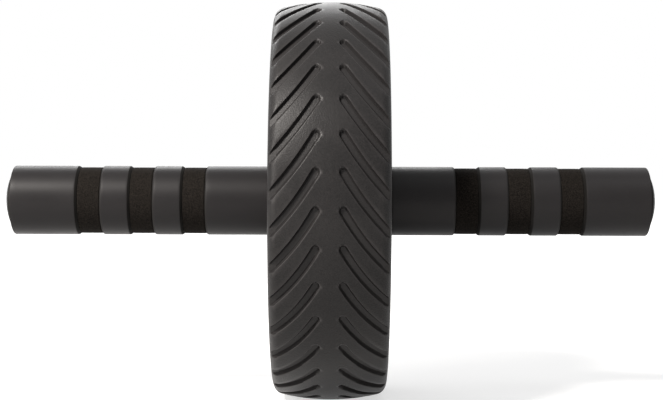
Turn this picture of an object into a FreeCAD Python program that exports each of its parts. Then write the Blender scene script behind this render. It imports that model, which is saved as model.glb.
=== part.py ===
import FreeCAD, Part
import math
import os

from FreeCAD import Placement, Rotation, Vector

# Ab wheel roller, in millimetres and degrees.
# X runs along the handles, the wheel turns about it, and Z is up.
# The origin is the middle of the wheel, on the centre line of the axle tube.

# Tyre: a crowned rubber band round the rim
wheel_diameter = 190.0
tread_width = 53.0
crown_radius = 100.0
shoulder_radius = 5.5
tyre_thickness = 15.0

# Tread grooves: slanting slots, mirrored about the mid plane into chevrons
groove_count = 36
groove_width = 3.7
groove_depth = 1.6
groove_draft = 11.0
groove_lean = 52.6
groove_bend = 18.0
groove_inner_tip = 4.3
groove_outer_tip = 27.5
groove_phase = 1.5

# Rim: the seat of the tyre, the lips that hold it and the keys that stop it slipping round
rim_wall = 3.0
rim_lip_height = 4.0
rim_lip_width = 3.0
rim_lip_inset = 0.4
rim_lip_edge = 1.0
key_count = 12
key_width = 7.0
key_height = 2.0
tyre_clearance = 0.05

# Hub disc: a closed web with rounded pockets that leave spokes between them
spoke_count = 6
spoke_width = 10.0
web_thickness = 3.0
disc_thickness = 9.0
disc_inset = 4.5
disc_dish = 2.0
pocket_rim_margin = 13.0
pocket_boss_margin = 6.0
pocket_corner = 6.0
pocket_floor_edge = 1.5
pocket_mouth_edge = 0.8
boss_diameter = 44.0

# Hub screws: they pull the two halves together through posts behind the disc
screw_diameter = 3.5
screw_head_diameter = 7.0
screw_head_height = 2.4
screw_bite = 12.0
screw_clearance = 0.25
screw_pilot_clearance = 0.05
screw_rim_margin = 6.0
screw_post_diameter = 13.0
counterbore_depth = 3.4
counterbore_clearance = 0.5

# Axle tube, its bushes and its thrust washers
tube_diameter = 22.0
tube_wall = 1.5
bush_wall = 2.5
bush_length = 22.0
bush_flange_diameter = 34.0
bush_flange_thickness = 1.5
bush_press_clearance = 0.05
running_clearance = 0.08
washer_diameter = 31.0
washer_thickness = 1.2
washer_gap = 0.3

# Handles: smooth rubber sleeves and rings with foam bands between them
handle_diameter = 33.0
foam_diameter = 31.6
inner_sleeve_length = 31.5
foam_band_length = 10.5
grip_ring_length = 14.4
end_sleeve_length = 32.0
grip_edge = 1.2
grip_bevel_length = 1.2
grip_bevel_depth = 0.8
end_sleeve_edge = 0.6
foam_edge = 0.8
glue_line = 0.1

# End plugs: domed heads with barbed stems that push into the tube
plug_head_diameter = 25.0
plug_head_edge = 1.2
plug_dome_rise = 2.7
plug_stem_length = 18.0
plug_stem_clearance = 0.5
plug_barb_clearance = 0.05
plug_barb_count = 3
plug_barb_width = 1.6

# Places worked out from the sizes above
AXLE = Vector(1, 0, 0)
ORIGIN = Vector(0, 0, 0)
FULL_TURN = 360.0
FRONT = 90.0
OVERCUT = 2.0

wheel_radius = wheel_diameter / 2
half_tread = tread_width / 2
crown_centre = wheel_radius - crown_radius
seat_radius = wheel_radius - tyre_thickness
lip_radius = seat_radius + rim_lip_height
lip_start = half_tread - rim_lip_inset - rim_lip_width
lip_face = half_tread - rim_lip_inset
rim_bore = seat_radius - rim_wall

tube_radius = tube_diameter / 2
tube_bore = tube_radius - tube_wall
bush_bore = tube_radius + running_clearance
bush_radius = bush_bore + bush_wall
boss_radius = boss_diameter / 2
boss_face = half_tread - bush_flange_thickness

disc_face_rim = half_tread - disc_inset - disc_dish
disc_face_boss = half_tread - disc_inset
disc_back = disc_face_rim - disc_thickness
pocket_floor = disc_back + web_thickness
pocket_inner = boss_radius + pocket_boss_margin
pocket_outer = rim_bore - pocket_rim_margin

screw_circle = rim_bore - screw_rim_margin
screw_radius = screw_diameter / 2
head_radius = screw_head_diameter / 2
screw_seat = disc_face_rim - counterbore_depth

sleeve_bore = tube_radius + glue_line
stack_start = half_tread + washer_gap + washer_thickness
foam_pitch = foam_band_length + grip_ring_length
foam_start = stack_start + inner_sleeve_length
end_sleeve_start = foam_start + 2 * foam_pitch + foam_band_length
tube_end = end_sleeve_start + end_sleeve_length


def point(x, r):
    """A point of a profile: x along the axle, r out from its centre line."""
    return Vector(x, r, 0)


def line(start, end):
    return Part.LineSegment(start, end).toShape()


def arc(start, middle, end):
    return Part.Arc(start, middle, end).toShape()


def corner(x, r, radius, side):
    """A quarter round at an outer corner, which faces side: -1 towards -X, +1 towards +X."""
    centre = point(x - side * radius, r - radius)
    reach = radius * math.sqrt(0.5)
    flank = point(x, r - radius)
    top = point(x - side * radius, r)
    middle = centre + Vector(side * reach, reach, 0)
    if side < 0:
        return flank, arc(flank, middle, top), top
    return top, arc(top, middle, flank), flank


def polygon(points):
    """Straight edges through the points and back to the first."""
    return [line(a, b) for a, b in zip(points, points[1:] + points[:1])]


def turned(edges):
    """A solid turned about the axle from a closed profile."""
    return Part.Face(Part.Wire(edges)).revolve(ORIGIN, AXLE, FULL_TURN)


def mirrored(shape):
    """The same piece on the other side of the wheel."""
    return shape.mirror(ORIGIN, AXLE)


def around(shape, count, first=0.0):
    """Copies of a shape spaced evenly about the axle."""
    copies = []
    for step in range(count):
        copy = shape.copy()
        copy.rotate(ORIGIN, AXLE, first + step * FULL_TURN / count)
        copies.append(copy)
    return copies


def sleeve(start, length, radius, wheel_edge, end_edge):
    """A tube glued on the axle: wheel_edge trims it towards the wheel, its other edge is rounded."""
    end = start + length
    flank, top = (vertex.Point for vertex in wheel_edge.Vertexes)
    a, end_round, b = corner(end, radius, end_edge, 1)
    return turned([
        line(point(start, sleeve_bore), flank),
        wheel_edge,
        line(top, a),
        end_round,
        line(b, point(end, sleeve_bore)),
        line(point(end, sleeve_bore), point(start, sleeve_bore)),
    ])


def rubber_grip(start, length, end_edge):
    """A smooth rubber piece of the handle, bevelled towards the wheel."""
    radius = handle_diameter / 2
    bevel = line(point(start, radius - grip_bevel_depth), point(start + grip_bevel_length, radius))
    return sleeve(start, length, radius, bevel, end_edge)


def foam_band(start):
    """A foam band between two rubber pieces, with both edges rounded."""
    radius = foam_diameter / 2
    wheel_round = corner(start, radius, foam_edge, -1)[1]
    return sleeve(start, foam_band_length, radius, wheel_round, foam_edge)


def crown_height(x, inset=0.0):
    """Radius of the crowned tread at x, or of a surface that lies inset below it."""
    return crown_centre + math.sqrt((crown_radius - inset) ** 2 - x ** 2)


def tyre_blank():
    """The tyre before its grooves: crown, round shoulders, side walls and stepped seat."""
    shoulder_x = half_tread - shoulder_radius
    inner_reach = crown_radius - shoulder_radius
    shoulder_r = crown_centre + math.sqrt(inner_reach ** 2 - shoulder_x ** 2)
    tangent = crown_radius / inner_reach
    edge_x = shoulder_x * tangent
    edge_r = crown_height(edge_x)
    swing = (math.pi / 2 - math.asin(edge_x / crown_radius)) / 2
    middle_x = shoulder_x + shoulder_radius * math.cos(swing)
    middle_r = shoulder_r + shoulder_radius * math.sin(swing)
    seat = seat_radius + tyre_clearance
    rebate = lip_radius + tyre_clearance
    step = lip_start - tyre_clearance
    return turned([
        arc(point(-edge_x, edge_r), point(0, wheel_radius), point(edge_x, edge_r)),
        arc(point(edge_x, edge_r), point(middle_x, middle_r), point(half_tread, shoulder_r)),
        line(point(half_tread, shoulder_r), point(half_tread, rebate)),
        line(point(half_tread, rebate), point(step, rebate)),
        line(point(step, rebate), point(step, seat)),
        line(point(step, seat), point(-step, seat)),
        line(point(-step, seat), point(-step, rebate)),
        line(point(-step, rebate), point(-half_tread, rebate)),
        line(point(-half_tread, rebate), point(-half_tread, shoulder_r)),
        arc(point(-half_tread, shoulder_r), point(-middle_x, middle_r), point(-edge_x, edge_r)),
    ])


def tread_floor():
    """All that lies under the floor of the grooves, which follows the crown."""
    reach = half_tread + OVERCUT
    edge = crown_height(reach, groove_depth)
    return turned([
        line(point(-reach, 0), point(-reach, edge)),
        arc(point(-reach, edge), point(0, wheel_radius - groove_depth), point(reach, edge)),
        line(point(reach, edge), point(reach, 0)),
        line(point(reach, 0), point(-reach, 0)),
    ])


def groove_outline(half_length, width, height):
    """A bent slot with round ends at this height over the tread, leaning towards the front."""
    lean = math.radians(groove_lean)
    half_bend = math.radians(groove_bend) / 2
    bend_radius = half_length / math.sin(half_bend)
    hollow_side = Vector(math.sin(lean), math.cos(lean), 0)
    centre = Vector(0, 0, height) + hollow_side * (bend_radius * math.cos(half_bend))

    def spoke(swing):
        """From the centre of the bend towards the slot, and the slot's own direction there."""
        turn = lean - swing
        return Vector(-math.sin(turn), -math.cos(turn), 0), Vector(math.cos(turn), -math.sin(turn), 0)

    far = bend_radius + width / 2
    near = bend_radius - width / 2
    (inner, inner_along), (middle, _), (outer, outer_along) = (
        spoke(-half_bend), spoke(0), spoke(half_bend)
    )
    inner_cap = centre + inner * bend_radius - inner_along * (width / 2)
    outer_cap = centre + outer * bend_radius + outer_along * (width / 2)
    return Part.Wire([
        arc(centre + inner * far, centre + middle * far, centre + outer * far),
        arc(centre + outer * far, outer_cap, centre + outer * near),
        arc(centre + outer * near, centre + middle * near, centre + inner * near),
        arc(centre + inner * near, inner_cap, centre + inner * far),
    ])


def groove_cutters():
    """Every slot of the tread: drafted walls on a floor of even depth."""
    inner_x = groove_inner_tip + groove_width / 2
    outer_x = groove_outer_tip - groove_width / 2
    middle_x = (inner_x + outer_x) / 2
    tilt = math.asin(middle_x / crown_radius)
    half_length = (outer_x - inner_x) / 2 / math.cos(tilt) / math.cos(math.radians(groove_lean))
    half_sweep = math.degrees(math.asin(half_length * math.sin(math.radians(groove_lean)) / wheel_radius))
    flare = 2 * math.tan(math.radians(groove_draft))
    bottom = -2 * groove_depth - shoulder_radius / 2
    levels = (bottom, OVERCUT)
    outlines = [groove_outline(half_length, groove_width + flare * level, level) for level in levels]
    slot = Part.makeLoft(outlines, True, True)
    slot.Placement = Placement(
        Vector(middle_x, 0, crown_height(middle_x)),
        Rotation(Vector(0, 1, 0), math.degrees(tilt)),
    )
    slot = slot.cut(tread_floor())
    right = around(slot, groove_count, FRONT + groove_phase + half_sweep)
    return right + [mirrored(copy) for copy in right]


def key_bar(start, end, clearance):
    """A bar on the rim's seat from start to end on X, or with a clearance the notch for it."""
    width = key_width + 2 * clearance
    root = seat_radius - rim_wall / 2
    height = seat_radius + key_height + clearance - root
    return Part.makeBox(end - start, width, height, Vector(start, -width / 2, root))


def tyre():
    notches = around(key_bar(-lip_start, lip_start, tyre_clearance), key_count)
    return tyre_blank().cut(notches + groove_cutters())


def hub_profile():
    """Rim, lip, dished disc and boss of the right half of the hub, as one profile."""
    bore = bush_radius + bush_press_clearance
    a, lip_outer, b = corner(lip_face, lip_radius, rim_lip_edge, 1)
    return [
        line(point(0, rim_bore), point(0, seat_radius)),
        line(point(0, seat_radius), point(lip_start, seat_radius)),
        line(point(lip_start, seat_radius), point(lip_start, lip_radius)),
        line(point(lip_start, lip_radius), a),
        lip_outer,
        line(b, point(lip_face, rim_bore + rim_lip_edge)),
        line(point(lip_face, rim_bore + rim_lip_edge), point(disc_face_rim, rim_bore)),
        line(point(disc_face_rim, rim_bore), point(disc_face_boss, boss_radius)),
        line(point(disc_face_boss, boss_radius), point(boss_face, boss_radius)),
        line(point(boss_face, boss_radius), point(boss_face, bore)),
        line(point(boss_face, bore), point(0, bore)),
        line(point(0, bore), point(0, boss_radius)),
        line(point(0, boss_radius), point(disc_back, boss_radius)),
        line(point(disc_back, boss_radius), point(disc_back, rim_bore)),
        line(point(disc_back, rim_bore), point(0, rim_bore)),
    ]


def hub_pocket():
    """A rounded pocket between two spokes, at the top of the wheel."""
    half_angle = math.pi / spoke_count
    half_spoke = spoke_width / 2

    def spoke_side(radius, side):
        run = math.sqrt(radius ** 2 - half_spoke ** 2)
        y = run * math.sin(half_angle) - half_spoke * math.cos(half_angle)
        z = run * math.cos(half_angle) + half_spoke * math.sin(half_angle)
        return Vector(pocket_floor, side * y, z)

    outer = (spoke_side(pocket_outer, -1), spoke_side(pocket_outer, 1))
    inner = (spoke_side(pocket_inner, -1), spoke_side(pocket_inner, 1))
    outline = Part.Wire([
        arc(outer[0], Vector(pocket_floor, 0, pocket_outer), outer[1]),
        line(outer[1], inner[1]),
        arc(inner[1], Vector(pocket_floor, 0, pocket_inner), inner[0]),
        line(inner[0], outer[0]),
    ])
    depth = half_tread - pocket_floor
    block = Part.Face(outline).extrude(Vector(depth, 0, 0))
    upright = [edge for edge in block.Edges if edge.BoundBox.XLength > depth / 2]
    block = block.makeFillet(pocket_corner, upright)
    floor_edges = [edge for edge in block.Edges if edge.BoundBox.XMax < pocket_floor + depth / 2]
    return block.makeFillet(pocket_floor_edge, floor_edges)


def screw_cylinder(radius, start, end):
    """A cylinder along a hub screw's line, between two places on X."""
    return Part.makeCylinder(radius, end - start, Vector(start, 0, screw_circle), AXLE)


def is_pocket_mouth(edge):
    """Whether an edge lies on the dished face of the disc, round a pocket."""
    radii = [math.hypot(vertex.Y, vertex.Z) for vertex in edge.Vertexes]
    on_face = edge.BoundBox.XMin > pocket_floor + pocket_floor_edge
    return on_face and boss_radius < min(radii) and max(radii) < screw_circle - head_radius


def hub_half(holes):
    """The right half of the hub, with its screw posts bored by the given holes."""
    half_step = FULL_TURN / spoke_count / 2
    shell = turned(hub_profile())
    posts = around(screw_cylinder(screw_post_diameter / 2, 0, disc_back + web_thickness / 2), spoke_count)
    keys = around(key_bar(0, lip_start, 0), key_count)
    shell = shell.multiFuse(posts + keys).removeSplitter()
    shell = shell.cut(around(hub_pocket(), spoke_count, half_step))
    mouths = [edge for edge in shell.Edges if is_pocket_mouth(edge)]
    return shell.makeFillet(pocket_mouth_edge, mouths).cut(holes)


def hub_right():
    """The half that the screw heads sit in."""
    counterbore = screw_cylinder(head_radius + counterbore_clearance, screw_seat, half_tread)
    passage = screw_cylinder(screw_radius + screw_clearance, -OVERCUT, screw_seat)
    return hub_half(around(counterbore.fuse(passage), spoke_count))


def hub_left():
    """The half that the screws bite into."""
    pilot = screw_cylinder(screw_radius + screw_pilot_clearance, -OVERCUT, screw_bite)
    return mirrored(hub_half(around(pilot, spoke_count)))


def hub_screws():
    """Pan head screws from the right half into the posts of the left."""
    crown = (head_radius ** 2 + screw_head_height ** 2) / (2 * screw_head_height)
    head = Part.makeCylinder(head_radius, screw_head_height, Vector(screw_seat, 0, screw_circle), AXLE)
    ball = Part.makeSphere(crown, Vector(screw_seat + screw_head_height - crown, 0, screw_circle))
    shank = screw_cylinder(screw_radius, -screw_bite, screw_seat)
    return Part.makeCompound(around(head.common(ball).fuse(shank), spoke_count))


def bush():
    """A flanged plain bush, pressed into the boss with its flange outside."""
    return turned(polygon([
        point(boss_face - bush_length, bush_bore),
        point(boss_face - bush_length, bush_radius),
        point(boss_face, bush_radius),
        point(boss_face, bush_flange_diameter / 2),
        point(half_tread, bush_flange_diameter / 2),
        point(half_tread, bush_bore),
    ]))


def thrust_washer():
    washer_start = half_tread + washer_gap
    return turned(polygon([
        point(washer_start, sleeve_bore),
        point(washer_start, washer_diameter / 2),
        point(stack_start, washer_diameter / 2),
        point(stack_start, sleeve_bore),
    ]))


def axle_tube():
    return turned(polygon([
        point(-tube_end, tube_bore),
        point(-tube_end, tube_radius),
        point(tube_end, tube_radius),
        point(tube_end, tube_bore),
    ]))


def end_plug():
    """A domed head that covers the tube's end, on a stem with barbs."""
    head = plug_head_diameter / 2
    rim_x = tube_end + plug_head_edge
    crown_x = rim_x + plug_dome_rise
    dome_radius = (head ** 2 + plug_dome_rise ** 2) / (2 * plug_dome_rise)
    half = head / 2
    middle = point(crown_x - dome_radius + math.sqrt(dome_radius ** 2 - half ** 2), half)
    stem = tube_bore - plug_stem_clearance
    barb = tube_bore - plug_barb_clearance
    barb_pitch = plug_stem_length / (plug_barb_count + 1)
    outline = [point(tube_end - plug_stem_length, 0), point(tube_end - plug_stem_length, stem)]
    for step in range(1, plug_barb_count + 1):
        tip = tube_end - plug_stem_length + step * barb_pitch
        outline += [point(tip - plug_barb_width, stem), point(tip, barb), point(tip, stem)]
    outline += [point(tube_end, stem), point(tube_end, head), point(rim_x, head)]
    edges = [line(a, b) for a, b in zip(outline, outline[1:])]
    edges.append(arc(point(rim_x, head), middle, point(crown_x, 0)))
    edges.append(line(point(crown_x, 0), outline[0]))
    return turned(edges)


def handle_pieces():
    """The stack of grip pieces on the right of the wheel, from the wheel outwards."""
    pieces = {
        "inner_sleeve": rubber_grip(stack_start, inner_sleeve_length, grip_edge),
        "end_sleeve": rubber_grip(end_sleeve_start, end_sleeve_length, end_sleeve_edge),
    }
    for step, place in enumerate(("inner", "middle", "outer")):
        pieces["foam_band_" + place] = foam_band(foam_start + step * foam_pitch)
    for step, place in enumerate(("inner", "outer")):
        start = foam_start + foam_band_length + step * foam_pitch
        pieces["grip_ring_" + place] = rubber_grip(start, grip_ring_length, grip_edge)
    return pieces


def main():
    pieces = {
        "tyre": tyre(),
        "hub_left": hub_left(),
        "hub_right": hub_right(),
        "hub_screws": hub_screws(),
        "axle_tube": axle_tube(),
    }
    pairs = handle_pieces()
    pairs.update({"bush": bush(), "thrust_washer": thrust_washer(), "end_plug": end_plug()})
    for name, shape in pairs.items():
        pieces[name + "_right"] = shape
        pieces[name + "_left"] = mirrored(shape)
    os.makedirs("parts", exist_ok=True)
    for name, shape in pieces.items():
        shape.exportStep("parts/" + name + ".step")
        print(name, len(shape.Solids), shape.isValid(), round(shape.Volume, 1))


main()
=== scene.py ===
import math

import bpy
from bpy.props import FloatProperty, FloatVectorProperty, IntProperty, PointerProperty
from mathutils import Matrix, Vector


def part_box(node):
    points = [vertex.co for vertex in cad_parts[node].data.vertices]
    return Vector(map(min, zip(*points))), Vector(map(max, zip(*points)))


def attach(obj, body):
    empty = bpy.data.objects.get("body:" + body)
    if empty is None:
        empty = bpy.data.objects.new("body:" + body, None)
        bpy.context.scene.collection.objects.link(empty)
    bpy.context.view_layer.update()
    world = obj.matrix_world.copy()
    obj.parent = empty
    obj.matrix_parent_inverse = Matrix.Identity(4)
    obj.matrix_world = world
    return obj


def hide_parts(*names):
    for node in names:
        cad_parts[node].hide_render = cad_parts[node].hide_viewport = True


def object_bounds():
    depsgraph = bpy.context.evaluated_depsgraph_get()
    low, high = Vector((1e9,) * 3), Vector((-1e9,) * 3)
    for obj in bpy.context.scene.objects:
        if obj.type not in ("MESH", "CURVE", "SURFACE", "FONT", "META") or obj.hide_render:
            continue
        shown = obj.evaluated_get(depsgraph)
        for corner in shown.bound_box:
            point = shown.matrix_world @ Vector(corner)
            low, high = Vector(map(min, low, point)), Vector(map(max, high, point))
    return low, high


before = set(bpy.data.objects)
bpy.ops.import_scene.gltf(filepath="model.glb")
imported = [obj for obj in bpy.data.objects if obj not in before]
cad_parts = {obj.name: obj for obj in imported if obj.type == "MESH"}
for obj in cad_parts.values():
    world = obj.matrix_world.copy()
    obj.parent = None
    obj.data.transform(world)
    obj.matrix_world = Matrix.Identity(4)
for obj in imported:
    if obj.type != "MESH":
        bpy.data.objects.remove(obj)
CAD_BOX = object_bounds()

bl_info = {
    "name": "Ab Wheel Roller",
    "version": (1, 0, 0),
    "blender": (4, 5, 0),
    "location": "3D View > Sidebar > Roller",
    "description": "An ab wheel roller: treaded tyre, banded handles, hub and a plain studio",
    "category": "Add Mesh",
}

# Lengths are in metres and angles in radians.
# The axle lies on X and the wheel's middle is the origin.

SIDES = ("left", "right")
MM = 0.001
WHITE = (1, 1, 1, 1)

# Pixels across the frame
PHOTO_WIDTH = 663

# Points closer than this become one, and edges that turn further than this stay sharp
MERGE = 0.00001
SHARP = math.radians(50)

# Faces with a mark over this take the other finish
MARKED = 0.75


def length(name, description, default):
    return FloatProperty(
        name=name, description=description, default=default, unit="LENGTH", precision=5
    )


def angle(name, description, degrees):
    return FloatProperty(
        name=name, description=description, default=math.radians(degrees), unit="ROTATION"
    )


def share(name, description, default):
    return FloatProperty(
        name=name, description=description, default=default, min=0, max=1, subtype="FACTOR"
    )


def colour(name, description, default):
    return FloatVectorProperty(
        name=name, description=description, default=default, size=3, min=0, max=1, subtype="COLOR"
    )


class TyreSizes(bpy.types.PropertyGroup):
    """Sizes and colour of the treaded tyre."""

    wheel_diameter: length(
        "Wheel diameter", "Across the crown of the tread", round(2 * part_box("tyre")[1].z, 4)
    )
    tread_width: length(
        "Tread width", "From side wall to side wall", round(2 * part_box("tyre")[1].x, 4)
    )
    crown_radius: length("Crown radius", "Curve of the tread across the wheel", 0.100)
    shoulder_radius: length("Shoulder radius", "Round between tread and side wall", 0.0055)
    rebate_radius: length("Rebate radius", "Where the side wall meets the lip of the rim", 0.08405)
    rebate_width: length("Rebate width", "Depth of the step for the lip of the rim", 0.00345)
    bore_radius: length("Bore radius", "Inside of the tyre, clear of the keys on the rim", 0.0821)
    groove_count: IntProperty(
        name="Grooves", description="Grooves round each side of the tread", default=36, min=3
    )
    groove_width: length("Groove width", "Between the walls of a groove at the tread", 0.0037)
    groove_depth: length("Groove depth", "From the tread to the floor of a groove", 0.0016)
    groove_lean: angle("Groove lean", "Slant of a groove from the axle's direction", 52.6)
    groove_bend: angle("Groove bend", "How far a groove turns along its run", 18)
    groove_inner_tip: length("Inner tip", "From the mid plane to a groove's inner end", 0.0043)
    groove_outer_tip: length("Outer tip", "From the mid plane to a groove's outer end", 0.0275)
    groove_phase: angle("Groove phase", "Turn of the pattern past the front", 1.5)
    groove_lip: length("Groove lip", "How far the rounded lip reaches out of a groove", 0.0003)
    # The lighter rubber past the lip is a painted highlight
    groove_rim: length("Groove rim", "How far the lighter rubber reaches past the lip", 0.00025)
    groove_foot: length("Groove foot", "How far the wall reaches into a groove", 0.00045)
    rubber: colour("Tyre rubber", "Colour of the tread", (0.0112, 0.0104, 0.0104))


class GripSizes(bpy.types.PropertyGroup):
    """Sizes and colours of the pieces on the handles."""

    bore_diameter: length("Bore", "Inside of the pieces that are glued to the tube", 0.0222)
    bevel_length: length("Bevel length", "Along the axle, on the edge towards the wheel", 0.0012)
    bevel_depth: length("Bevel depth", "Across the axle, on the edge towards the wheel", 0.0008)
    edge: length("Edge", "Round on the edge that faces outwards", 0.0012)
    end_edge: length("End edge", "Round on the outer rim of an end sleeve", 0.0006)
    # Painted shade: the edge darkening carries the dark colour below over the outward rounded edges
    # and the outer end faces
    edge_darkening: share("Edge wear", "How dull the outward edges are, 1 as a trimmed end", 1.0)
    softening: length("Softening", "Small round where two faces meet", 0.00015)
    foam_edge: length("Foam edge", "Round on the edges of a foam band", 0.0005)
    foam_swell: length("Foam swell", "How far the middle of a foam band swells", 0.00003)
    foam_grain: length("Foam grain", "Height of the open cells on a foam band", 0.00016)
    plug_edge: length("Plug edge", "Round on the rim of a plug's head", 0.0006)
    plug_head_edge: length("Plug head", "Height of the rim of a plug's head", 0.0012)
    plug_head_diameter: length("Plug diameter", "Across the head of a plug", 0.025)
    plug_stem_diameter: length("Plug stem", "Across the stem of a plug", 0.0180)
    rubber: colour("Grip rubber", "Colour of the smooth pieces", (0.0092, 0.0082, 0.0085))
    # A dark colour painted on the bevels that face the wheel, and through the edge darkening on the
    # outward edges and end faces: painted shade
    edge_shade_colour: colour("Painted edge shade", "Colour of the trimmed ends", (0.004, 0.0035, 0.003))
    foam: colour("Grip foam", "Colour of the foam bands", (0.0092, 0.0078, 0.0067))
    plug: colour("Plug plastic", "Colour of the end plugs", (0.011, 0.0105, 0.010))


class HubFinish(bpy.types.PropertyGroup):
    """Screw sizes and the colours of the hub's pieces."""

    screw_circle: length("Screw circle", "From the axle to the middle of a screw", 0.071)
    screw_head_diameter: length("Screw head", "Across the head of a screw", 0.007)
    screw_head_height: length("Head height", "From seat to crown of a screw head", 0.0024)
    screw_diameter: length("Screw shank", "Across the shank of a screw", 0.0035)
    recess_reach: length("Recess reach", "From a head's middle to a recess arm's end", 0.0021)
    recess_width: length("Recess width", "Across an arm of the cross recess", 0.0009)
    recess_depth: length("Recess depth", "Deepest part of the cross recess", 0.0013)
    plastic: colour("Hub plastic", "Colour of the two hub halves", (0.022, 0.022, 0.023))
    bush: colour("Bush plastic", "Colour of the plain bushes", (0.52, 0.50, 0.44))
    washer: colour("Washer plastic", "Colour of the thrust washers", (0.018, 0.018, 0.018))
    tube: colour("Tube steel", "Colour of the axle tube", (0.55, 0.55, 0.56))
    screw: colour("Screw steel", "Colour of the hub screws", (0.56, 0.55, 0.52))


class StageSettings(bpy.types.PropertyGroup):
    """Camera and light of the plain studio."""

    focal_pixels: FloatProperty(
        name="Focal length", description="In pixels of the frame", default=1490.0, min=1,
        subtype="PIXEL",
    )
    distance: length("Distance", "From the camera to the axle", 0.7185)
    height: length("Height", "Of the camera over the axle", 0.015)
    aside: length("Aside", "Of the camera to the right of the wheel", 0.0035)
    aim: length("Aim", "How far over the axle the camera looks", 0.0004)
    roll: angle("Roll", "Turn of the camera about its view", 0.18)
    key: FloatProperty(
        name="Key", description="Watts of the main lamp", default=48.0, min=0, unit="POWER"
    )
    fill: share("Fill", "Light from all round", 0.13)
    floor: colour("Floor", "Colour of the floor", (0.57, 0.57, 0.57))
    floor_glow: share("Floor glow", "Share of the floor's white that shadows leave", 0.6)


class Term:
    """An output socket of a node, which takes part in sums like a number."""

    def __init__(self, tree, socket):
        self.tree = tree
        self.socket = socket

    def out(self, name):
        """Another output of the same node."""
        return Term(self.tree, self.socket.node.outputs[name])

    def __add__(self, other):
        return number(self.tree, "ADD", self, other)

    def __sub__(self, other):
        return number(self.tree, "SUBTRACT", self, other)

    def __mul__(self, other):
        return number(self.tree, "MULTIPLY", self, other)

    def __truediv__(self, other):
        return number(self.tree, "DIVIDE", self, other)


def add(tree, kind, *values, **settings):
    """Adds a node, fills its inputs in their order and gives its first output."""
    node = tree.nodes.new(kind)
    for name, value in settings.items():
        setattr(node, name, value)
    for socket, value in zip([socket for socket in node.inputs if socket.enabled], values):
        if isinstance(value, Term):
            tree.links.new(value.socket, socket)
        elif value is not None:
            socket.default_value = value
    return Term(tree, [socket for socket in node.outputs if socket.enabled][0])


def number(tree, operation, *values):
    return add(tree, "ShaderNodeMath", *values, operation=operation)


def vector(tree, operation, *values):
    return add(tree, "ShaderNodeVectorMath", *values, operation=operation)


def triple(tree, *values):
    return add(tree, "ShaderNodeCombineXYZ", *values)


def ramp(tree, value, low, high, to_low=0.0, to_high=1.0, kind="LINEAR"):
    """The value carried from one range to another and held at its ends."""
    return add(
        tree, "ShaderNodeMapRange", value, low, high, to_low, to_high, interpolation_type=kind
    )


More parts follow.
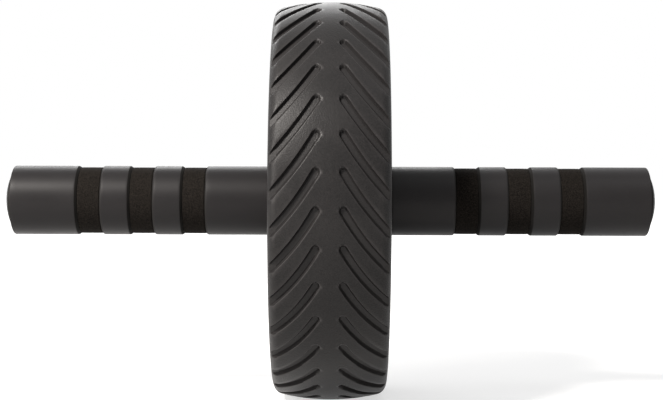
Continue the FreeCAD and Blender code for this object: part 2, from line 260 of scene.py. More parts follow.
class Recipe:
    """A Geometry Nodes tree that grows a piece from the points of its section."""

    SOCKETS = {int: "NodeSocketInt", float: "NodeSocketFloat", tuple: "NodeSocketVector"}

    def __init__(self, name, sizes):
        self.tree = bpy.data.node_groups.new(name, "GeometryNodeTree")
        sockets = self.tree.interface
        sockets.new_socket("Section", in_out="INPUT", socket_type="NodeSocketGeometry")
        sockets.new_socket("Piece", in_out="OUTPUT", socket_type="NodeSocketGeometry")
        self.values = {}
        for label, value in sizes.items():
            kind = self.SOCKETS[type(value)]
            made = sockets.new_socket(label, in_out="INPUT", socket_type=kind)
            self.values[made.identifier] = value
        self.inputs = self.tree.nodes.new("NodeGroupInput")

    def __getitem__(self, label):
        return Term(self.tree, self.inputs.outputs[label])

    def add(self, kind, *values, **settings):
        return add(self.tree, kind, *values, **settings)

    def attribute(self, name):
        """A value that the points carry."""
        return self.add("GeometryNodeInputNamedAttribute", name, data_type="FLOAT")

    def of_section(self, value, index, kind):
        """A value at one point of the section."""
        section = self["Section"]
        return self.add("GeometryNodeSampleIndex", section, value, index, data_type=kind)

    def turned_grid(self, rows):
        """A grid with a column for each point of the section: the mesh, x, radius, mark and row."""
        count = self.add("GeometryNodeAttributeDomainSize", self["Section"])
        mesh = self.add("GeometryNodeMeshGrid", count, rows, count + 1, rows + 1)
        mesh = self.add("GeometryNodeFlipFaces", mesh)
        place = self.add("ShaderNodeSeparateXYZ", self.add("GeometryNodeInputPosition"))
        column = number(self.tree, "ROUND", place + count / 2)
        row = number(self.tree, "ROUND", place.out("Y") + rows / 2)
        index = self.add("FunctionNodeFloatToInt", number(self.tree, "MODULO", column, count))
        point = self.of_section(self.add("GeometryNodeInputPosition"), index, "FLOAT_VECTOR")
        mark = self.of_section(self.attribute("mark"), index, "FLOAT")
        split = self.add("ShaderNodeSeparateXYZ", point)
        return mesh, split, split.out("Y"), mark, row

    def on_ring(self, along, radius, turn):
        """The place at this radius, turned from the top of the wheel towards the front."""
        across = number(self.tree, "SINE", turn) * radius
        up = number(self.tree, "COSINE", turn) * radius
        return triple(self.tree, along, across * -1, up)

    def keep(self, mesh, name, value):
        """Keeps a value on the points, for the finish to read."""
        store = "GeometryNodeStoreNamedAttribute"
        return self.add(store, mesh, None, name, value, data_type="FLOAT")

    def close(self, mesh, place, material, **others):
        """Moves the grid into place, closes its seams and gives it its finish."""
        mesh = self.add("GeometryNodeSetPosition", mesh, None, place)
        mesh = self.add("GeometryNodeMergeByDistance", mesh, None, MERGE)
        self.end(mesh, material, **others)

    def end(self, mesh, material, **others):
        """Smooths the piece and sets its finish, and other finishes where attributes mark them."""
        edge = self.add("GeometryNodeInputMeshEdgeAngle")
        crease = self.add("FunctionNodeCompare", edge, SHARP, operation="GREATER_THAN")
        mesh = self.add("GeometryNodeSetShadeSmooth", mesh, None, True, domain="FACE")
        mesh = self.add("GeometryNodeSetShadeSmooth", mesh, crease, False, domain="EDGE")
        mesh = self.add("GeometryNodeRealizeInstances", mesh)
        mesh = self.add("GeometryNodeSetMaterial", mesh, None, material)
        for name, other in others.items():
            mark = self.attribute(name)
            marked = self.add("FunctionNodeCompare", mark, MARKED, operation="GREATER_THAN")
            mesh = self.add("GeometryNodeSetMaterial", mesh, marked, other)
        end = self.tree.nodes.new("NodeGroupOutput")
        self.tree.links.new(mesh.socket, end.inputs[0])

    def modifier(self, piece):
        """Puts the recipe on a piece, with its sizes as inputs."""
        made = piece.modifiers.new(self.tree.name, "NODES")
        made.node_group = self.tree
        for identifier, value in self.values.items():
            made[identifier] = value

    def grow(self, name, section):
        """The finished piece as a plain mesh."""
        mesh = bpy.data.meshes.new(name)
        mesh.from_pydata([(x, r, 0) for x, r, _ in section], [], [])
        marks = mesh.attributes.new("mark", "FLOAT", "POINT")
        marks.data.foreach_set("value", [mark for _, _, mark in section])
        piece = bpy.data.objects.new(name, mesh)
        bpy.context.scene.collection.objects.link(piece)
        self.modifier(piece)
        graph = bpy.context.evaluated_depsgraph_get()
        plain = bpy.data.meshes.new_from_object(
            piece.evaluated_get(graph), preserve_all_data_layers=True, depsgraph=graph
        )
        piece.modifiers.clear()
        piece.data = plain
        bpy.data.meshes.remove(mesh)
        return piece


def spaced(start, end, steps):
    """Even steps from start up to, and without, the end."""
    return [start + (end - start) * step / steps for step in range(steps)]


def rounded(x, r, radius, first, last, steps):
    """Points on a round about (x, r), from one angle to another, both in degrees from X."""
    turns = spaced(math.radians(first), math.radians(last), steps) + [math.radians(last)]
    return [(x + radius * math.cos(t), r + radius * math.sin(t)) for t in turns]


def on_side(section, side):
    """The section of the right side, or its mirror on the left that runs the same way round."""
    if side == "right":
        return section
    return [(-x, r, mark) for x, r, mark in reversed(section)]


def scaled(tone, factor):
    """The colour, lighter or darker by a factor."""
    return tuple(c * factor for c in tone)


CLOUD_SCALE = 55.0
CLOUD_DETAIL = 4.0
SPECK_DETAIL = 2.0
NOISE_ROUGHNESS = 0.6
SHADE_RANGE = (0.36, 0.64)
GLOSS_RANGE = (0.35, 0.65)
GLOSS_PATCHY = 0.6


def finish(
    name, tone, gloss, mottle=0.12, specular=0.3, grain=0.0, grain_scale=1800.0, metal=0.0,
    masks=(), patchy=0.45,
):
    """A procedural finish: mottled colour, uneven gloss, fine grain and other colours under masks.

    gloss is the lowest and highest roughness, grain the height of the bumps in metres and patchy
    the share of wide patches in the mottling. A mask is an attribute's name, the colour there and
    how much rougher it is.
    """
    material = bpy.data.materials.new(name)
    material.use_nodes = True
    tree = material.node_tree
    shader = tree.nodes["Principled BSDF"]
    shader.inputs["Metallic"].default_value = metal
    shader.inputs["Specular IOR Level"].default_value = specular
    place = add(tree, "ShaderNodeTexCoord").out("Object")
    cloud = add(tree, "ShaderNodeTexNoise", place, CLOUD_SCALE, CLOUD_DETAIL, NOISE_ROUGHNESS)
    speck = add(tree, "ShaderNodeTexNoise", place, grain_scale, SPECK_DETAIL, NOISE_ROUGHNESS)
    light = scaled(tone, 1 + mottle) + (1,)
    dark = scaled(tone, 1 - mottle) + (1,)
    shade = ramp(tree, cloud * patchy + speck * (1 - patchy), *SHADE_RANGE)
    base = add(tree, "ShaderNodeMix", shade, dark, light, data_type="RGBA")
    uneven = cloud * GLOSS_PATCHY + speck * (1 - GLOSS_PATCHY)
    rough = ramp(tree, uneven, *GLOSS_RANGE, *gloss)
    for attribute, second, rougher in masks:
        amount = add(tree, "ShaderNodeAttribute", attribute_name=attribute).out("Fac")
        base = add(tree, "ShaderNodeMix", amount, base, second + (1,), data_type="RGBA")
        rough = rough + amount * rougher
    tree.links.new(base.socket, shader.inputs["Base Color"])
    tree.links.new(rough.socket, shader.inputs["Roughness"])
    if grain:
        bump = add(tree, "ShaderNodeBump", 1.0, grain, 1.0, speck)
        tree.links.new(bump.socket, shader.inputs["Normal"])
    return material


def seat(piece, body, slot, *nodes):
    """Sets a finished piece on its body in place of the solids that it stands for."""
    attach(piece, body)
    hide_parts(*nodes)


# Points of the tyre's section, from the mid plane outwards, and sizes of its small forms
MIDDLE_STEPS = 3
TIP_STEPS = 17
CROWN_STEPS = 10
SHOULDER_STEPS = 16
REBATE_STEPS = 3
TIP_MARGIN = 0.5 * MM
TIP_REACH = 3.8 * MM
REBATE_ROUND = 0.3 * MM

# Rows of the tread: half a groove's floor, its wall and rim, and the land between two grooves
FLOOR_STEPS = 4
WALL_STEPS = 5
RIM_STEPS = 1
LAND_STEPS = 4
PITCH_STEPS = 2 * (FLOOR_STEPS + WALL_STEPS + RIM_STEPS) + LAND_STEPS

# Laps that bring the lean of the rows onto the crown
LEAN_LAPS = 3

# The finish of the walls: how far in it reaches, in widths of the wall's foot, how far down a wall
# it starts, and the share of its full depth that a groove needs for it
WALL_REACH = 1.9
WALL_FADE = (0.05, 0.1)
WALL_SHALLOW = (0.2, 0.3)

# How much lighter than the tread the groove floors and the lips are: painted light that lifts the
# floors out of their shade, and a painted highlight on the lips
FLOOR_PAINTED_LIGHT = 1.4
LIP_PAINTED_HIGHLIGHT = 2.8


def tyre_section(size):
    """Points round the tyre's section, closer together where grooves begin and end."""
    radius = size.wheel_diameter / 2
    half = size.tread_width / 2
    centre = radius - size.crown_radius
    shoulder_x = half - size.shoulder_radius
    reach = size.crown_radius - size.shoulder_radius
    shoulder_r = centre + math.sqrt(reach ** 2 - shoulder_x ** 2)
    edge_x = shoulder_x * size.crown_radius / reach
    edge_turn = 90 - math.degrees(math.asin(edge_x / size.crown_radius))
    near = size.groove_inner_tip - TIP_MARGIN
    past = near + TIP_REACH
    stops = spaced(0, near, MIDDLE_STEPS) + spaced(near, past, TIP_STEPS)
    stops += spaced(past, edge_x, CROWN_STEPS)
    outline = [(x, centre + math.sqrt(size.crown_radius ** 2 - x ** 2)) for x in stops]
    outline += rounded(shoulder_x, shoulder_r, size.shoulder_radius, edge_turn, 0, SHOULDER_STEPS)
    corner_x = half - REBATE_ROUND
    corner_r = size.rebate_radius + REBATE_ROUND
    outline += rounded(corner_x, corner_r, REBATE_ROUND, 0, -90, REBATE_STEPS)
    step = half - size.rebate_width
    outline += [(step, size.rebate_radius), (step, size.bore_radius)]
    left = [(-x, r) for x, r in reversed(outline[1:])]
    return [(x, r, 0.0) for x, r in outline + [(0, size.bore_radius)] + left]


def groove_run(size):
    """Where a groove lies, laid flat about its middle: x outwards, y round the wheel."""
    radius = size.wheel_diameter / 2
    inner_x = size.groove_inner_tip + size.groove_width / 2
    outer_x = size.groove_outer_tip - size.groove_width / 2
    middle_x = (inner_x + outer_x) / 2
    tilt = math.asin(middle_x / size.crown_radius)
    run = (outer_x - inner_x) / 2 / math.cos(tilt) / math.cos(size.groove_lean)
    sweep = math.asin(run * math.sin(size.groove_lean) / radius)
    half_bend = size.groove_bend / 2
    bend_radius = run / math.sin(half_bend)
    centre = Vector((math.sin(size.groove_lean), -math.cos(size.groove_lean), 0))
    centre *= bend_radius * math.cos(half_bend)

    def end(turn):
        across = Vector((-math.sin(turn), math.cos(turn), 0))
        return tuple(centre + across * bend_radius), (math.cos(turn), math.sin(turn), 0.0)

    inner_end, inner_way = end(size.groove_lean + half_bend)
    outer_end, outer_way = end(size.groove_lean - half_bend)
    return {
        "Inner Tip": inner_x,
        "Outer Tip": outer_x,
        "Middle": middle_x,
        "Middle Radius": radius - size.crown_radius * (1 - math.cos(tilt)),
        "Tilt Cosine": math.cos(tilt),
        "Tilt Sine": math.sin(tilt),
        "Bend Radius": bend_radius,
        "Bend Centre": tuple(centre),
        "Inner End": inner_end,
        "Inner Way": inner_way,
        "Outer End": outer_end,
        "Outer Way": outer_way,
        "First Turn": math.pi / 2 + size.groove_phase + sweep,
        "Pitch": math.tau / size.groove_count,
        "Floor Turn": (size.groove_width / 2 - size.groove_foot) / radius,
        "Wall Turn": (size.groove_foot + size.groove_lip) / radius,
        "Rim Turn": size.groove_rim / radius,
    }


def leaning_rows(recipe, side):
    """How the rows lean with the bent middle line of the grooves: its rise and its turn."""
    tree = recipe.tree
    held = number(tree, "MAXIMUM", side, recipe["Inner Tip"])
    held = number(tree, "MINIMUM", held, recipe["Outer Tip"])
    centre = recipe.add("ShaderNodeSeparateXYZ", recipe["Bend Centre"])
    crown = recipe["Crown Radius"] * recipe["Crown Radius"] - held * held
    crown = number(tree, "SQRT", crown) + recipe["Crown Centre"]
    drop = 0.0
    for _ in range(LEAN_LAPS):
        run = (held - recipe["Middle"]) * recipe["Tilt Cosine"] - centre - drop
        rise = number(tree, "SQRT", recipe["Bend Radius"] * recipe["Bend Radius"] - run * run)
        lean = number(tree, "ARCSINE", (rise + centre.out("Y")) / crown)
        drop = number(tree, "COSINE", lean) * crown - recipe["Middle Radius"]
        drop = drop * recipe["Tilt Sine"]
    return rise, lean


def crowded_rows(recipe, row, slant):
    """Crowds the rows on the walls of the grooves.

    A pitch runs from the middle of one groove to the middle of the next, over floor, wall, rim,
    land, rim, wall and floor. Gives the turn to the start of a row's pitch, the row's turn from
    there and its turn from the nearest groove.
    """
    tree = recipe.tree
    index = number(tree, "FLOOR", row / recipe["Rows In A Pitch"])
    step = row - recipe["Rows In A Pitch"] * index
    floor_turn = recipe["Floor Turn"] * slant
    wall_turn = recipe["Wall Turn"] * slant
    rim_turn = recipe["Rim Turn"] * slant
    land_turn = recipe["Pitch"] - (floor_turn + wall_turn + rim_turn) * 2
    half = [(floor_turn, FLOOR_STEPS), (wall_turn, WALL_STEPS), (rim_turn, RIM_STEPS)]
    start = 0
    within = None
    for width, count in half + [(land_turn, LAND_STEPS)] + half[::-1]:
        zone = ramp(tree, step, float(start), float(start + count), 0.0, width)
        within = zone if within is None else within + zone
        start += count
    past = number(tree, "GREATER_THAN", step, PITCH_STEPS / 2)
    return recipe["Pitch"] * index, within, within - recipe["Pitch"] * past


def groove_gap(recipe, flat):
    """How far a place on the flat tread lies outside the edge of its groove."""
    tree = recipe.tree
    from_bend = vector(tree, "DISTANCE", flat, recipe["Bend Centre"]) - recipe["Bend Radius"]
    gap = number(tree, "ABSOLUTE", from_bend)
    for end, way, sign in (("Inner End", "Inner Way", -1.0), ("Outer End", "Outer Way", 1.0)):
        from_end = vector(tree, "SUBTRACT", flat, recipe[end])
        past_end = vector(tree, "DOT_PRODUCT", from_end, recipe[way]) * sign
        beyond = number(tree, "GREATER_THAN", past_end, 0.0)
        gap = gap + beyond * (vector(tree, "DISTANCE", flat, recipe[end]) - gap)
    return gap - recipe["Groove Width"] / 2


def tyre_recipe(size, material, wall_material):
    """Turns the tyre's section, with rows along the grooves, and sinks the grooves into it."""
    sizes = groove_run(size)
    sizes.update({
        "Groove Width": size.groove_width,
        "Groove Lip": size.groove_lip,
        "Groove Rim": size.groove_rim,
        "Groove Foot": size.groove_foot,
        "Groove Depth": size.groove_depth,
        "Crown Radius": size.crown_radius,
        "Crown Centre": size.wheel_diameter / 2 - size.crown_radius,
        "Rows": size.groove_count * PITCH_STEPS,
        "Rows In A Pitch": PITCH_STEPS,
    })
    recipe = Recipe("treaded_tyre", sizes)
    tree = recipe.tree
    mesh, along, radius, _, row = recipe.turned_grid(recipe["Rows"])
    side = number(tree, "ABSOLUTE", along)
    rise, lean = leaning_rows(recipe, side)
    turn, within, nearest = crowded_rows(recipe, row, recipe["Bend Radius"] / rise)

    # Each point's place on the flat groove, and how much of the groove's depth it takes
    local = nearest + lean
    lift = number(tree, "COSINE", local) * radius - recipe["Middle Radius"]
    flat_x = (side - recipe["Middle"]) * recipe["Tilt Cosine"] - lift * recipe["Tilt Sine"]
    flat = triple(tree, flat_x, number(tree, "SINE", local) * radius)
    gap = groove_gap(recipe, flat)
    sunk = ramp(tree, gap, recipe["Groove Lip"], recipe["Groove Foot"] * -1, kind="SMOOTHSTEP")

    # The floor follows the crown, so a groove runs out on the shoulder
    floor_curve = recipe["Crown Radius"] - recipe["Groove Depth"]
    floor = number(tree, "SQRT", floor_curve * floor_curve - along * along)
    room = radius - (floor + recipe["Crown Centre"])
    full = ramp(tree, room, 0.0, recipe["Groove Depth"])
    depth = number(tree, "MAXIMUM", room, 0.0) * sunk

    # Where the floors with their painted light, the walls and the lips with their painted highlight
    # are
    inside = number(tree, "GREATER_THAN", gap, recipe["Groove Foot"] * -WALL_REACH)
    wall = ramp(tree, sunk, *WALL_FADE) * inside * ramp(tree, full, *WALL_SHALLOW)
    from_lip = number(tree, "ABSOLUTE", gap - recipe["Groove Lip"])
    lip = ramp(tree, from_lip, recipe["Groove Rim"], 0.0)
    mesh = recipe.keep(mesh, "floor", sunk * sunk)
    mesh = recipe.keep(mesh, "wall", wall)
    mesh = recipe.keep(mesh, "lip", lip * full)
    place = recipe.on_ring(along, radius - depth, turn + within + lean + recipe["First Turn"])
    recipe.close(mesh, place, material, wall=wall_material)
    return recipe


class ROLLER_OT_tyre(bpy.types.Operator):
    """Make the crowned tyre with its chevron tread"""

    bl_idname = "roller.tyre"
    bl_label = "Treaded Tyre"

    def execute(self, context):
        size = context.scene.roller_tyre
        rubber = tuple(size.rubber)
        # Lighter groove floors are painted light, and lighter lips a painted highlight
        material = finish(
            "tyre rubber", rubber, gloss=(0.40, 0.50), mottle=0.55, specular=0.155, grain=0.00018,
            grain_scale=2200.0, patchy=0.25,
            masks=(("floor", scaled(rubber, FLOOR_PAINTED_LIGHT), 0.0), ("lip", scaled(rubber, LIP_PAINTED_HIGHLIGHT), -0.12)),
        )
        walls = finish(
            "groove wall rubber", rubber, gloss=(0.7, 0.9), mottle=0.3, specular=0.1,
            grain_scale=2200.0,
        )
        piece = tyre_recipe(size, material, walls).grow("treaded_tyre", tyre_section(size))
        seat(piece, "wheel", "tyre_rubber", "tyre")
        return {"FINISHED"}


# Rows round a turned piece, and the noise of the foam's open cells
TURN_ROWS = 240
CELL_SCALE = 2400.0
CELL_DETAIL = 1.0
CELL_ROUGHNESS = 0.5
CELL_MIDDLE = 0.5

# Points along the sections of the turned pieces
BEVEL_STEPS = 4
GRIP_STEPS = 12
EDGE_STEPS = 8
FOAM_STEPS = 28
FOAM_EDGE_STEPS = 6
PLUG_EDGE_STEPS = 5
DOME_STEPS = 12


def turned_recipe(name, material, grain=0.0):
    """Turns a section about the axle, and roughens it by grain where the section is marked."""
    recipe = Recipe(name, {"Rows": TURN_ROWS, "Grain": grain, "Cells": CELL_SCALE})
    mesh, along, radius, mark, row = recipe.turned_grid(recipe["Rows"])
    turn = row / recipe["Rows"] * math.tau
    if grain:
        place = recipe.on_ring(along, radius, turn)
        noise = (recipe["Cells"], CELL_DETAIL, CELL_ROUGHNESS)
        cells = recipe.add("ShaderNodeTexNoise", place, *noise)
        radius = radius + (cells - CELL_MIDDLE) * recipe["Grain"] * mark
    mesh = recipe.keep(mesh, "mark", mark)
    recipe.close(mesh, recipe.on_ring(along, radius, turn), material)
    return recipe


def outer_box(node):
    """Start and end on X, away from the wheel, and the radius of a piece on the handles."""
    low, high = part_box(node)
    start, end = sorted((abs(low.x), abs(high.x)))
    return start, end, round(high.z, 5)


def grip_section(node, size, end_edge):
    """A smooth rubber piece: bore, bevel towards the wheel, straight grip and rounded edge."""
    start, end, radius = outer_box(node)
    bore = size.bore_diameter / 2
    foot = radius - size.bevel_depth
    top = start + size.bevel_length
    soft = size.softening
    darkening = size.edge_darkening
    # A mark of 1 takes the painted shade colour: the whole bevel towards the wheel, and the outward
    # round and end face through the edge darkening
    points = [(start, bore, 1.0), (start, foot - soft, 1.0), (start + soft / 2, foot, 1.0)]
    for x in spaced(start + soft, top - soft, BEVEL_STEPS) + [top - soft]:
        points.append((x, foot + (x - start) / size.bevel_length * size.bevel_depth, 1.0))
    points += [(top, radius - soft / 4, 0.5), (top + 2 * soft, radius, 0.0)]
    points += [(x, radius, 0.0) for x in spaced(top + MM, end - end_edge, GRIP_STEPS)]
    rim = rounded(end - end_edge, radius - end_edge, end_edge, 90, 0, EDGE_STEPS)
    points += [(x, r, darkening * (x - end + end_edge) / end_edge) for x, r in rim]
    return points + [(end, bore + (radius - bore) / 2, darkening), (end, bore, darkening)]


def foam_section(node, size):
    """A foam band: round edges and a slight swell, marked where its open cells show."""
    start, end, radius = outer_box(node)
    bore = size.bore_diameter / 2
    edge = size.foam_edge
    first = rounded(start + edge, radius - edge, edge, 180, 90, FOAM_EDGE_STEPS)
    last = rounded(end - edge, radius - edge, edge, 90, 0, FOAM_EDGE_STEPS)
    points = [(start, bore, 0.0)] + [(x, r, 1.0) for x, r in first]
    for x in spaced(start + edge, end - edge, FOAM_STEPS)[1:]:
        swell = math.sin(math.pi * (x - start - edge) / (end - start - 2 * edge))
        points.append((x, radius + size.foam_swell * swell, 1.0))
    return points + [(x, r, 1.0) for x, r in last] + [(end, bore, 0.0)]


def plug_section(node, size):
    """A domed plug: head with a rounded rim and a stem in the tube."""
    inner, tip, _ = outer_box(node)
    rim = outer_box("end_sleeve_right")[1]
    head = size.plug_head_diameter / 2
    stem = size.plug_stem_diameter / 2
    rise = tip - (rim + size.plug_head_edge)
    dome = (head ** 2 + rise ** 2) / (2 * rise)
    soft = size.plug_edge
    soft_r = head - soft
    soft_x = tip - dome + math.sqrt((dome - soft) ** 2 - soft_r ** 2)
    lean = math.asin(soft_r / (dome - soft))
    touch = soft_r + soft * math.sin(lean)
    points = [(inner, 0.0), (inner, stem), (rim, stem)]
    points += [(rim, head - soft / 2), (rim + soft / 2, head)]
    points += rounded(soft_x, soft_r, soft, 90, math.degrees(lean), PLUG_EDGE_STEPS)
    stops = spaced(touch, 0, DOME_STEPS)[1:]
    points += [(tip - dome + math.sqrt(dome ** 2 - r ** 2), r) for r in stops]
    return [(x, r, 0.0) for x, r in points + [(tip, 0.0)]]


class ROLLER_OT_grips(bpy.types.Operator):
    """Make the smooth rubber sleeves and rings of both handles"""

    bl_idname = "roller.grips"
    bl_label = "Rubber Sleeves and Rings"

    def execute(self, context):
        size = context.scene.roller_grips
        # The marked bevels, rounds and ends take a darker colour, painted shade
        material = finish(
            "grip rubber", tuple(size.rubber), gloss=(0.40, 0.49), mottle=0.10, specular=0.165,
            grain=0.000012, grain_scale=2600.0, masks=(("mark", tuple(size.edge_shade_colour), 0.5),),
        )
        recipe = turned_recipe("rubber_grip", material)
        for kind in ("inner_sleeve", "grip_ring_inner", "grip_ring_outer", "end_sleeve"):
            end_edge = size.end_edge if kind == "end_sleeve" else size.edge
            section = grip_section(kind + "_right", size, end_edge)
            for side in SIDES:
                piece = recipe.grow(f"rubber_{kind}_{side}", on_side(section, side))
                seat(piece, "handle", "grip_rubber", f"{kind}_{side}")
        return {"FINISHED"}


class ROLLER_OT_foam(bpy.types.Operator):
    """Make the foam bands between the rubber pieces"""

    bl_idname = "roller.foam"
    bl_label = "Foam Bands"

    def execute(self, context):
        size = context.scene.roller_grips
        material = finish(
            "grip foam", tuple(size.foam), gloss=(0.86, 0.97), mottle=0.65, specular=0.05,
            grain=0.0002, grain_scale=1900.0, patchy=0.08,
        )
        recipe = turned_recipe("foam_band", material, size.foam_grain)
        for place in ("inner", "middle", "outer"):
            section = foam_section(f"foam_band_{place}_right", size)
            for side in SIDES:
                piece = recipe.grow(f"foam_{place}_{side}", on_side(section, side))
                seat(piece, "handle", "grip_foam", f"foam_band_{place}_{side}")
        return {"FINISHED"}


class ROLLER_OT_plugs(bpy.types.Operator):
    """Make the domed plugs in the ends of the handles"""

    bl_idname = "roller.plugs"
    bl_label = "End Plugs"

    def execute(self, context):
        size = context.scene.roller_grips
        material = finish(
            "plug plastic", tuple(size.plug), gloss=(0.45, 0.55), mottle=0.1, specular=0.08,
            grain=0.00001, grain_scale=3000.0,
        )
        recipe = turned_recipe("domed_plug", material)
        section = plug_section("end_plug_right", size)
        for side in SIDES:
            piece = recipe.grow(f"domed_plug_{side}", on_side(section, side))
            seat(piece, "handle", "plug_plastic", f"end_plug_{side}")
        return {"FINISHED"}


SCREW_COUNT = 6
SCREW_ROWS = 96
SCREW_HEAD_STEPS = 36

# The tip's slimming and its length as a share of the shank's radius
SCREW_TIP = 0.4 * MM
SCREW_TAPER = 0.8

# Edges of the head's seat and crown, and the height over the seat from which a recess can sink
SEAT_EDGE = 0.1 * MM
CROWN_EDGE = 0.12 * MM
RECESS_LEVEL = 0.5 * MM

# The recess: round of its edges, where it is deepest as a share of its reach, and how dark its
# painted shade is
RECESS_SOFT = 0.12 * MM
RECESS_SLOPE = 0.45
RECESS_PAINTED_SHADE = 0.25


def screw_section(node, size):
    """A pan head screw about its own axis: tip, shank, seat and crowned head."""
    low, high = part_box(node)
    head = size.screw_head_diameter / 2
    height = size.screw_head_height
    shank = size.screw_diameter / 2
    crown = (head ** 2 + height ** 2) / (2 * height)
    seat_x = high.x - height
    points = [(low.x, 0.0), (low.x, shank - SCREW_TIP), (low.x + shank * SCREW_TAPER, shank)]
    points += [(seat_x, shank), (seat_x, head - SEAT_EDGE), (seat_x + SEAT_EDGE, head)]
    stops = spaced(head - CROWN_EDGE, 0, SCREW_HEAD_STEPS)
    points += [(high.x - crown + math.sqrt(crown ** 2 - r ** 2), r) for r in stops]
    points.append((high.x, 0.0))
    return [(x, r, 1.0 if x > seat_x + RECESS_LEVEL else 0.0) for x, r in points]


def screw_recipe(size, material):
    """Turns one screw, sinks a cross recess in its head and sets copies round the hub."""
    recipe = Recipe("cross_screws", {
        "Rows": SCREW_ROWS,
        "Screws": SCREW_COUNT,
        "Screw Circle": size.screw_circle,
        "Recess Reach": size.recess_reach,
        "Recess Width": size.recess_width,
        "Recess Depth": size.recess_depth,
    })
    tree = recipe.tree
    mesh, along, radius, mark, row = recipe.turned_grid(recipe["Rows"])
    place = recipe.on_ring(along, radius, row / recipe["Rows"] * math.tau)
    split = recipe.add("ShaderNodeSeparateXYZ", place)
    y = number(tree, "ABSOLUTE", split.out("Y"))
    z = number(tree, "ABSOLUTE", split.out("Z"))
    arm = number(tree, "MINIMUM", y, z) - recipe["Recess Width"] / 2
    cross = ramp(tree, arm, RECESS_SOFT, -RECESS_SOFT, kind="SMOOTHSTEP")
    deepest = recipe["Recess Reach"] * RECESS_SLOPE
    reach = ramp(tree, radius, recipe["Recess Reach"], deepest, kind="SMOOTHSTEP")
    sunk = cross * reach * mark
    mesh = recipe.keep(mesh, "mark", sunk)
    shift = triple(tree, sunk * recipe["Recess Depth"] * -1, 0.0, 0.0)
    mesh = recipe.add("GeometryNodeSetPosition", mesh, None, vector(tree, "ADD", place, shift))
    screw = recipe.add("GeometryNodeMergeByDistance", mesh, None, MERGE)
    out = triple(tree, 0.0, 0.0, recipe["Screw Circle"])
    lifted = recipe.add("GeometryNodeTransform", screw, out)
    middle = (0.0, 0.0, 0.0)
    points = recipe.add("GeometryNodeMeshLine", recipe["Screws"], middle, middle)
    index = recipe.add("GeometryNodeInputIndex")
    turn = triple(tree, index / recipe["Screws"] * math.tau, 0.0, 0.0)
    placed = recipe.add("GeometryNodeInstanceOnPoints", points, None, lifted, None, None, turn)
    recipe.end(recipe.add("GeometryNodeRealizeInstances", placed), material)
    return recipe


class ROLLER_OT_screws(bpy.types.Operator):
    """Make the screws that join the two halves of the hub"""

    bl_idname = "roller.screws"
    bl_label = "Hub Screws"

    def execute(self, context):
        size = context.scene.roller_hub
        # The cross recess is darkened, painted shade
        material = finish(
            "screw steel", tuple(size.screw), gloss=(0.24, 0.4), mottle=0.08, specular=0.5,
            grain=0.000006, grain_scale=4000.0, metal=1.0,
            masks=(("mark", scaled(size.screw, RECESS_PAINTED_SHADE), 0.2),),
        )
        section = screw_section("hub_screws", size)
        piece = screw_recipe(size, material).grow("cross_screws", section)
        seat(piece, "wheel", "screw_steel", "hub_screws")
        return {"FINISHED"}


class ROLLER_OT_hub(bpy.types.Operator):
    """Finish the hub halves, bushes, washers and the axle tube"""

    bl_idname = "roller.hub"
    bl_label = "Hub and Axle"

    def execute(self, context):
        size = context.scene.roller_hub
        finishes = {
            "hub": finish(
                "hub plastic", tuple(size.plastic), gloss=(0.42, 0.58), mottle=0.1, specular=0.4,
                grain=0.00003, grain_scale=1500.0,
            ),
            "bush": finish(
                "bush plastic", tuple(size.bush), gloss=(0.35, 0.5), mottle=0.04, grain=0.000008
            ),
            "thrust_washer": finish(
                "washer plastic", tuple(size.washer), gloss=(0.4, 0.55), grain=0.00001
            ),
            "axle_tube": finish(
                "tube steel", tuple(size.tube), gloss=(0.2, 0.36), mottle=0.06, metal=1.0
            ),
        }
        for kind, material in finishes.items():
            recipe = Recipe("smooth_" + kind, {})
            mesh = recipe.add("GeometryNodeMergeByDistance", recipe["Section"], None, MERGE)
            recipe.end(mesh, material)
            names = [kind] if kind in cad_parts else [f"{kind}_{side}" for side in SIDES]
            for name in names:
                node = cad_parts[name]
                node.data.materials.clear()
                node.data.materials.append(material)
                recipe.modifier(node)
                node.modifiers.new("even_shading", "WEIGHTED_NORMAL").keep_sharp = True
        return {"FINISHED"}


# Each lamp's name, place, width and height, share of the key's watts and tint
WARM = (1, 0.95, 0.9)
NEUTRAL = (1, 1, 1)
LAMPS = (
    ("key", (-0.80, -0.88, 1.10), (0.3, 0.3), 1.0, WARM),
    ("back", (-0.35, 1.2, 0.8), (1.2, 0.5), 0.21, NEUTRAL),
    ("right", (0.55, -0.45, 1.25), (0.5, 0.5), 0.04, NEUTRAL),
    ("left", (-1.1, -0.65, 0.38), (0.5, 0.5), 0.25, WARM),
)

# The floor is a disc, and its glow rises to full white between these distances from the wheel
FLOOR_RADIUS = 6
FLOOR_CORNERS = 96
FLOOR_ROUGHNESS = 0.9
GLOW_RANGE = (0.5, 1.4)

CAMERA_CLIP = 0.01
CAMERA_AIM_ASIDE = 0.0005


def lamp(name, place, size, watts, tint):
    """A soft lamp that faces the wheel."""
    light = bpy.data.lights.new(name, "AREA")
    light.shape = "RECTANGLE"
    light.size, light.size_y = size
    light.energy = watts
    light.color = tint
    made = bpy.data.objects.new(name, light)
    made.location = place
    made.rotation_euler = (-Vector(place)).to_track_quat("-Z", "Y").to_euler()
    bpy.context.scene.collection.objects.link(made)


def seen_rays(tree):
    """1 for rays from the camera, and for those that polished or clear surfaces send on."""
    path = add(tree, "ShaderNodeLightPath")
    seen = number(tree, "MAXIMUM", path, path.out("Is Glossy Ray"))
    return number(tree, "MAXIMUM", seen, path.out("Is Transmission Ray"))


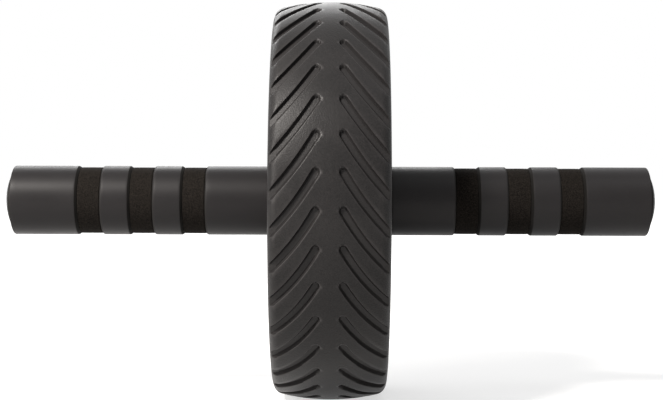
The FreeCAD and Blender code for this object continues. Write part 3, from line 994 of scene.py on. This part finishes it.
class ROLLER_OT_stage(bpy.types.Operator):
    """Make the floor, the lamps and the camera"""

    bl_idname = "roller.stage"
    bl_label = "Plain Studio"

    def execute(self, context):
        size = context.scene.roller_stage
        self.make_floor(size)
        self.make_world(size)
        for name, place, extent, part, tint in LAMPS:
            lamp(name, place, extent, size.key * part, tint)
        self.make_camera(size)
        context.scene.view_settings.view_transform = "Standard"
        return {"FINISHED"}

    def make_floor(self, size):
        mesh = bpy.data.meshes.new("floor")
        turns = spaced(0, math.tau, FLOOR_CORNERS)
        rim = [
            (FLOOR_RADIUS * math.cos(t), FLOOR_RADIUS * math.sin(t), CAD_BOX[0].z) for t in turns
        ]
        mesh.from_pydata(rim, [], [range(len(rim))])
        floor = bpy.data.objects.new("floor", mesh)
        bpy.context.scene.collection.objects.link(floor)
        material = bpy.data.materials.new("floor paint")
        material.use_nodes = True
        tree = material.node_tree
        shader = tree.nodes["Principled BSDF"]
        shader.inputs["Base Color"].default_value = tuple(size.floor) + (1,)
        shader.inputs["Roughness"].default_value = FLOOR_ROUGHNESS
        shader.inputs["Emission Color"].default_value = WHITE
        away = vector(tree, "LENGTH", add(tree, "ShaderNodeTexCoord").out("Object"))
        glow = seen_rays(tree) * ramp(tree, away, *GLOW_RANGE, size.floor_glow, 1.0)
        tree.links.new(glow.socket, shader.inputs["Emission Strength"])
        mesh.materials.append(material)

    def make_world(self, size):
        world = bpy.data.worlds.new("studio")
        world.use_nodes = True
        tree = world.node_tree
        backdrop = tree.nodes["Background"]
        backdrop.inputs["Color"].default_value = WHITE
        strength = ramp(tree, seen_rays(tree), 0.0, 1.0, size.fill, 1.0)
        tree.links.new(strength.socket, backdrop.inputs["Strength"])
        bpy.context.scene.world = world

    def make_camera(self, size):
        camera = bpy.data.cameras.new("camera")
        camera.lens = size.focal_pixels / PHOTO_WIDTH * camera.sensor_width
        camera.clip_start = CAMERA_CLIP
        made = bpy.data.objects.new("camera", camera)
        place = Vector((size.aside, -size.distance, size.height))
        sight = Vector((CAMERA_AIM_ASIDE, 0, size.aim)) - place
        look = sight.to_track_quat("-Z", "Y").to_matrix().to_4x4()
        roll = Matrix.Rotation(size.roll, 4, "Z")
        made.matrix_world = Matrix.Translation(place) @ look @ roll
        bpy.context.scene.collection.objects.link(made)
        bpy.context.scene.camera = made


class ROLLER_PT_sidebar(bpy.types.Panel):
    """Lists the pieces of the roller and their sizes"""

    bl_idname = "ROLLER_PT_sidebar"
    bl_label = "Ab Wheel Roller"
    bl_space_type = "VIEW_3D"
    bl_region_type = "UI"
    bl_category = "Roller"

    def draw(self, context):
        layout = self.layout
        for operator in OPERATORS:
            layout.operator(operator.bl_idname)
        for name in GROUPS:
            box = layout.box()
            group = getattr(context.scene, name)
            for key in group.__annotations__:
                box.prop(group, key)


GROUPS = {
    "roller_tyre": TyreSizes,
    "roller_grips": GripSizes,
    "roller_hub": HubFinish,
    "roller_stage": StageSettings,
}
OPERATORS = (
    ROLLER_OT_tyre,
    ROLLER_OT_grips,
    ROLLER_OT_foam,
    ROLLER_OT_plugs,
    ROLLER_OT_screws,
    ROLLER_OT_hub,
    ROLLER_OT_stage,
)


def register():
    for name, group in GROUPS.items():
        bpy.utils.register_class(group)
        setattr(bpy.types.Scene, name, PointerProperty(type=group))
    for operator in OPERATORS:
        bpy.utils.register_class(operator)
    bpy.utils.register_class(ROLLER_PT_sidebar)


def unregister():
    bpy.utils.unregister_class(ROLLER_PT_sidebar)
    for operator in reversed(OPERATORS):
        bpy.utils.unregister_class(operator)
    for name, group in GROUPS.items():
        delattr(bpy.types.Scene, name)
        bpy.utils.unregister_class(group)


def main():
    register()
    bpy.ops.roller.tyre()
    bpy.ops.roller.grips()
    bpy.ops.roller.foam()
    bpy.ops.roller.plugs()
    bpy.ops.roller.screws()
    bpy.ops.roller.hub()
    bpy.ops.roller.stage()


if __name__ == "__main__":
    main()
